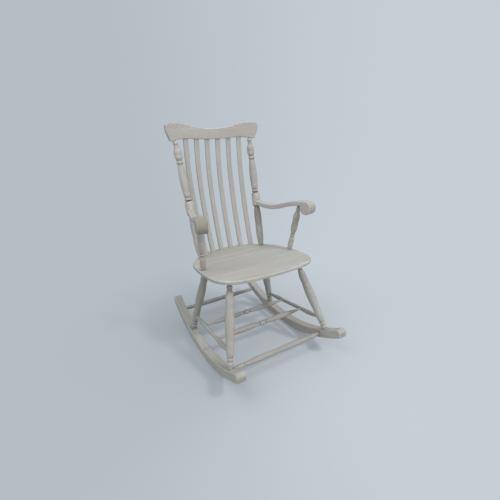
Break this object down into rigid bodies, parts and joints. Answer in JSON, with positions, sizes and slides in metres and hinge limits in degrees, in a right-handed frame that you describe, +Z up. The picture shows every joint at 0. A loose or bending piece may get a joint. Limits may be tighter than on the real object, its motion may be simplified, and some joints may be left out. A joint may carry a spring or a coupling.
{
  "type": "rocking chair",
  "caption": "Adult rocking chair with turned legs and stretchers, a shaped plank seat, bent back slats under a waved crest rail, and scrolled arms on turned posts.",
  "frame": {"origin": "on the floor, at the middle of the chair's plan", "axes": "+Z up, -Y the way the sitter faces, +X towards the sitter's left"},
  "size_m": [0.5904, 0.8088, 1.0659],
  "materials": {
    "seat_wood": "bare, sanded",
    "sawn_wood": "bare, sanded",
    "turned_wood": "bare, sanded",
    "bent_wood": "bare, sanded",
    "dowel_wood": "bare end grain",
    "screw_steel": "plain"
  },
  "bodies": {
    "root": {"seat": "seat_wood", "crest_rail": "sawn_wood", "stile_left": "turned_wood", "stile_right": "turned_wood", "slat_1": "bent_wood", "slat_2": "bent_wood", "slat_3": "bent_wood", "slat_4": "bent_wood", "slat_5": "bent_wood", "slat_6": "bent_wood", "arm_left": "sawn_wood", "arm_right": "sawn_wood", "arm_post_left": "turned_wood", "arm_post_right": "turned_wood", "leg_front_left": "turned_wood", "leg_front_right": "turned_wood", "leg_rear_left": "turned_wood", "leg_rear_right": "turned_wood", "side_stretcher_left": "turned_wood", "side_stretcher_right": "turned_wood", "cross_stretcher_front": "turned_wood", "cross_stretcher_rear": "turned_wood", "rocker_left": "sawn_wood", "rocker_right": "sawn_wood", "rocker_stretcher_front": "turned_wood", "rocker_stretcher_rear": "turned_wood", "arm_screws": "screw_steel", "arm_screw_plugs": "dowel_wood", "rocker_pins": "dowel_wood", "crest_pins": "dowel_wood"}
  },
  "joints": []
}
